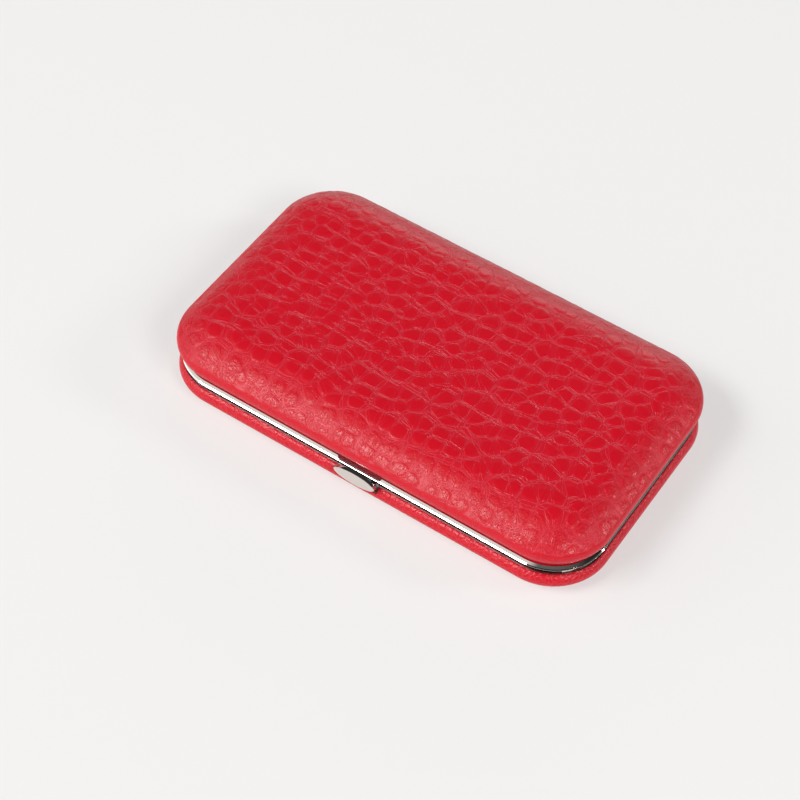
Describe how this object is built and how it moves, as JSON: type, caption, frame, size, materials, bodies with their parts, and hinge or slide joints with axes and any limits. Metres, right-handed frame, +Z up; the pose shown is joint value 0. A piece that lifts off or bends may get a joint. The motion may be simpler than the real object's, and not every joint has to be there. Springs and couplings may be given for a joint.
{
  "type": "manicure set case",
  "caption": "Hard rectangular case with padded leather-covered halves in metal frames, hinged at the back, with a push-button latch and elastic tool loops inside.",
  "frame": {"origin": "on the surface the case lies on, under the middle of the closed case", "axes": "+Z up; +X along the case's length; the button faces -Y and the hinges are at +Y"},
  "size_m": [0.115, 0.0688, 0.0196],
  "materials": {
    "leather": "satin",
    "nickel": "polished",
    "steel": "satin",
    "spring_steel": "satin",
    "foam": "matte",
    "shell": "matte",
    "lining": "matte",
    "elastic": "matte"
  },
  "bodies": {
    "base": {"base_frame": "nickel", "base_cover": "leather", "base_padding": "foam", "base_shell": "shell", "base_liner": "lining", "base_tool_band": "elastic", "latch_housing": "steel", "latch_keeper": "steel", "latch_rivets": "steel", "latch_spring": "spring_steel", "hinge_left_base_leaf": "nickel", "hinge_right_base_leaf": "nickel", "hinge_left_pin": "steel", "hinge_right_pin": "steel"},
    "lid": {"lid_frame": "nickel", "lid_cover": "leather", "lid_padding": "foam", "lid_shell": "shell", "lid_liner": "lining", "lid_tool_band": "elastic", "lid_strike": "nickel", "hinge_left_lid_leaf": "nickel", "hinge_right_lid_leaf": "nickel"},
    "button": {"button": "nickel", "latch_slider": "steel"}
  },
  "joints": [
    {"name": "lid_hinge", "type": "hinge", "parent": "base", "child": "lid", "pos_m": [0, 0.0335, 0.008], "axis": [-1, 0, 0], "range_deg": [0, 110]},
    {"name": "button_press", "type": "slide", "parent": "base", "child": "button", "axis": [0, 1, 0], "range_m": [0, 0.0008], "stiffness_N_per_m": 800, "springref_m": -0.0015, "deforming": ["latch_spring"]}
  ]
}
